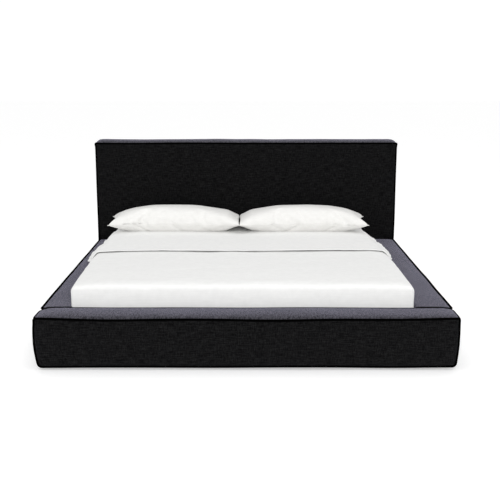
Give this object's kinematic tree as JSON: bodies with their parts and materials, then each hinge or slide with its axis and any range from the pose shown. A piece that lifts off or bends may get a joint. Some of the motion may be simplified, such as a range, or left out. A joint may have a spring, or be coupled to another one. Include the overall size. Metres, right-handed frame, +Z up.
{
  "type": "platform bed with storage drawers",
  "caption": "Low king-size platform bed with piped upholstered headboard and rails, sunken slatted deck, side drawers on ball slides, mattress, white bedding and pillows.",
  "frame": {"origin": "on the floor, under the middle of the bed's overall box", "axes": "+Z up; +Y from the foot to the headboard; +X to the right as seen from the foot"},
  "size_m": [2.373, 2.459, 1.0785],
  "materials": {
    "upholstery": "matt linen weave, near black",
    "piping": "tight black welt",
    "foam": "open-cell foam",
    "plywood": "sanded birch plywood",
    "timber": "planed pine",
    "drawer_wood": "lacquered birch",
    "webbing": "woven cotton tape",
    "black_steel": "satin black powder coat",
    "zinc_steel": "zinc plated",
    "glide_plastic": "moulded, matt",
    "mattress_fabric": "quilted knit",
    "white_cotton": "smooth cotton"
  },
  "bodies": {
    "base": {"foot_rail_cover": "upholstery", "headboard_cover": "upholstery", "left_rail_cover": "upholstery", "right_rail_cover": "upholstery", "foot_rail_piping": "piping", "headboard_piping": "piping", "left_rail_piping": "piping", "right_rail_piping": "piping", "foot_rail_foam": "foam", "headboard_foam": "foam", "left_rail_foam": "foam", "right_rail_foam": "foam", "foot_rail_frame": "plywood", "headboard_frame": "plywood", "headboard_back_panel": "plywood", "left_rail_frame": "plywood", "right_rail_frame": "plywood", "left_drawer_bay": "plywood", "right_drawer_bay": "plywood", "slat_ledges": "timber", "centre_beam": "timber", "centre_legs": "timber", "left_slats": "timber", "right_slats": "timber", "slat_straps": "webbing", "corner_brackets": "black_steel", "beam_hangers": "black_steel", "corner_bolts": "zinc_steel", "fixed_slides": "zinc_steel", "floor_glides": "glide_plastic", "mattress": "mattress_fabric", "fitted_sheet": "white_cotton", "coverlet": "white_cotton", "turned_down_sheet": "white_cotton", "left_pillow": "white_cotton", "right_pillow": "white_cotton"},
    "front_left_drawer": {"front_left_drawer_front_board": "plywood", "front_left_drawer_front_pad": "upholstery", "front_left_drawer_box": "drawer_wood", "front_left_drawer_bottom": "drawer_wood", "front_left_drawer_slides": "zinc_steel"},
    "front_left_middle_slides": {"front_left_middle_slides": "zinc_steel"},
    "front_right_drawer": {"front_right_drawer_front_board": "plywood", "front_right_drawer_front_pad": "upholstery", "front_right_drawer_box": "drawer_wood", "front_right_drawer_bottom": "drawer_wood", "front_right_drawer_slides": "zinc_steel"},
    "front_right_middle_slides": {"front_right_middle_slides": "zinc_steel"},
    "rear_left_drawer": {"rear_left_drawer_front_board": "plywood", "rear_left_drawer_front_pad": "upholstery", "rear_left_drawer_box": "drawer_wood", "rear_left_drawer_bottom": "drawer_wood", "rear_left_drawer_slides": "zinc_steel"},
    "rear_left_middle_slides": {"rear_left_middle_slides": "zinc_steel"},
    "rear_right_drawer": {"rear_right_drawer_front_board": "plywood", "rear_right_drawer_front_pad": "upholstery", "rear_right_drawer_box": "drawer_wood", "rear_right_drawer_bottom": "drawer_wood", "rear_right_drawer_slides": "zinc_steel"},
    "rear_right_middle_slides": {"rear_right_middle_slides": "zinc_steel"}
  },
  "joints": [
    {"name": "front_left_drawer_pull", "type": "slide", "parent": "base", "child": "front_left_drawer", "axis": [-1, 0, 0], "range_m": [0, 0.48]},
    {"name": "front_left_middle_slides_run", "type": "slide", "parent": "base", "child": "front_left_middle_slides", "axis": [-1, 0, 0], "range_m": [0, 0.24]},
    {"name": "front_right_drawer_pull", "type": "slide", "parent": "base", "child": "front_right_drawer", "axis": [1, 0, 0], "range_m": [0, 0.48]},
    {"name": "front_right_middle_slides_run", "type": "slide", "parent": "base", "child": "front_right_middle_slides", "axis": [1, 0, 0], "range_m": [0, 0.24]},
    {"name": "rear_left_drawer_pull", "type": "slide", "parent": "base", "child": "rear_left_drawer", "axis": [-1, 0, 0], "range_m": [0, 0.48]},
    {"name": "rear_left_middle_slides_run", "type": "slide", "parent": "base", "child": "rear_left_middle_slides", "axis": [-1, 0, 0], "range_m": [0, 0.24]},
    {"name": "rear_right_drawer_pull", "type": "slide", "parent": "base", "child": "rear_right_drawer", "axis": [1, 0, 0], "range_m": [0, 0.48]},
    {"name": "rear_right_middle_slides_run", "type": "slide", "parent": "base", "child": "rear_right_middle_slides", "axis": [1, 0, 0], "range_m": [0, 0.24]}
  ],
  "couplings": [
    {"joint": "front_left_middle_slides_run", "follows": "front_left_drawer_pull", "ratio": 0.5},
    {"joint": "front_right_middle_slides_run", "follows": "front_right_drawer_pull", "ratio": 0.5},
    {"joint": "rear_left_middle_slides_run", "follows": "rear_left_drawer_pull", "ratio": 0.5},
    {"joint": "rear_right_middle_slides_run", "follows": "rear_right_drawer_pull", "ratio": 0.5}
  ]
}
